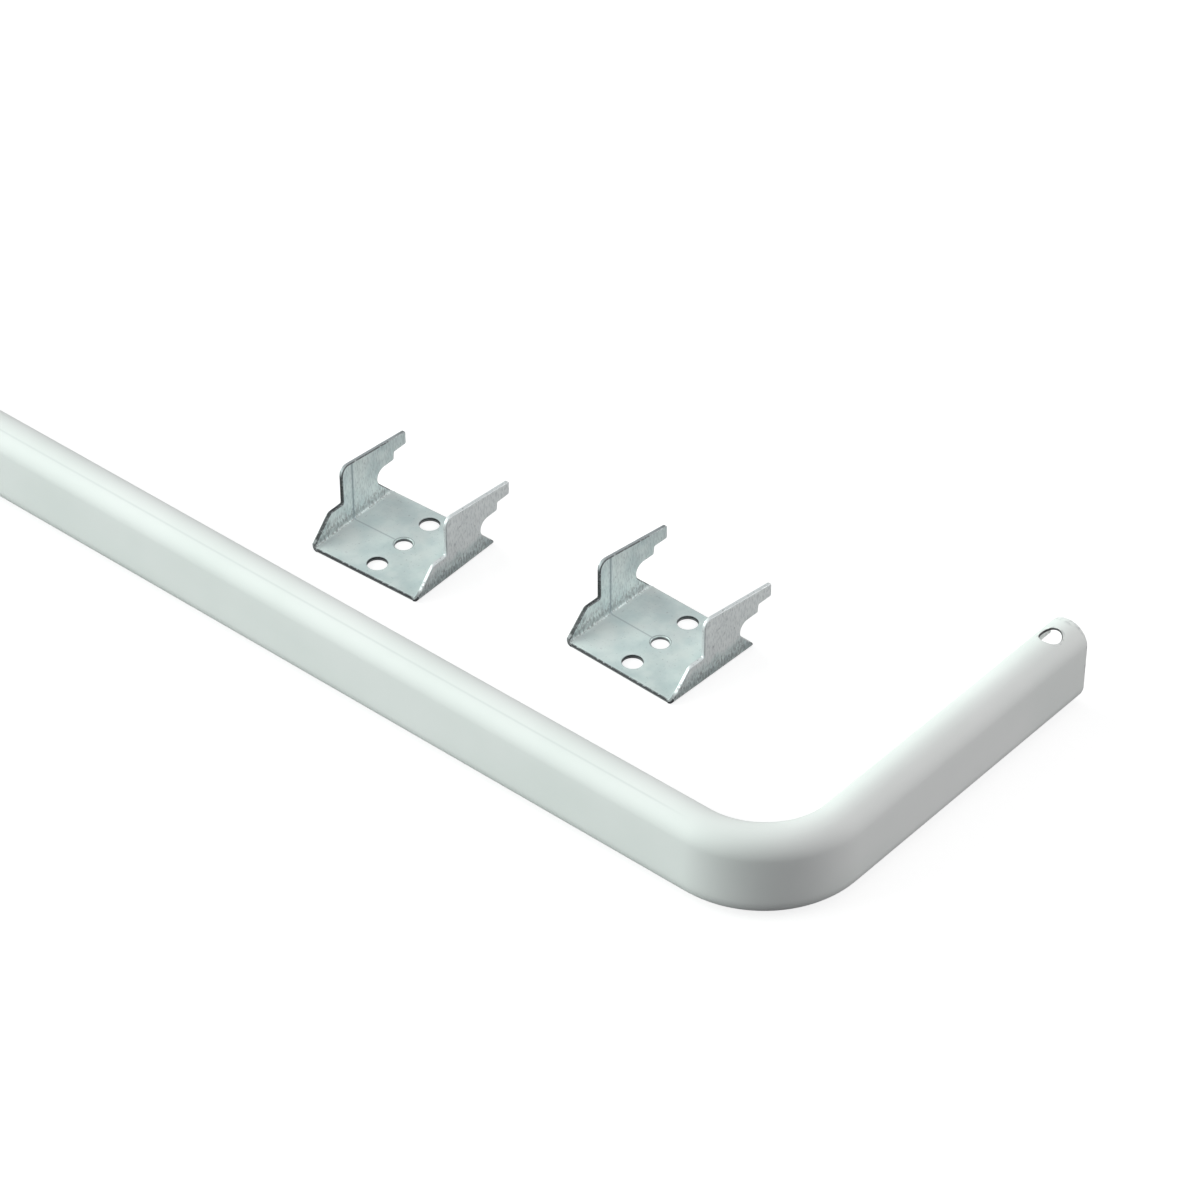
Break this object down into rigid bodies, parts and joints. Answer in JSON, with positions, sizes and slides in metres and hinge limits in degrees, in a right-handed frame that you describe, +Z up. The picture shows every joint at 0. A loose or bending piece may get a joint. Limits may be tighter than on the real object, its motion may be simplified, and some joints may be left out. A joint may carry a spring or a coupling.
{
  "type": "curtain rod with brackets",
  "caption": "Extending flat white curtain rod with bent return ends, a hook hole in the top of each end, and loose U-shaped galvanised wall brackets.",
  "frame": {"origin": "middle of the closed rod's length and of its return depth, on the surface that it stands on", "axes": "+X along the rod towards the outer channel's bent end, +Y from the front face towards the wall, +Z up, across the rod's height"},
  "size_m": [0.711, 0.095, 0.019],
  "materials": {
    "white_enamel": "smooth semi-gloss white baked enamel on rolled steel",
    "zinc_sheet": "dull galvanised steel sheet with bright sheared edges"
  },
  "bodies": {
    "outer_section": {"outer_rod": "white_enamel"},
    "inner_section": {"inner_rod": "white_enamel"},
    "loose_bracket_a": {"bracket_a": "zinc_sheet"},
    "loose_bracket_b": {"bracket_b": "zinc_sheet"}
  },
  "joints": [
    {"name": "rod_extend", "type": "slide", "parent": "outer_section", "child": "inner_section", "axis": [-1, 0, 0], "range_m": [0, 0.508]},
    {"name": "bracket_a_lift", "type": "slide", "parent": "outer_section", "child": "loose_bracket_a", "axis": [0, 0, 1], "range_m": [0, 0.04]},
    {"name": "bracket_b_lift", "type": "slide", "parent": "outer_section", "child": "loose_bracket_b", "axis": [0, 0, 1], "range_m": [0, 0.04]}
  ]
}
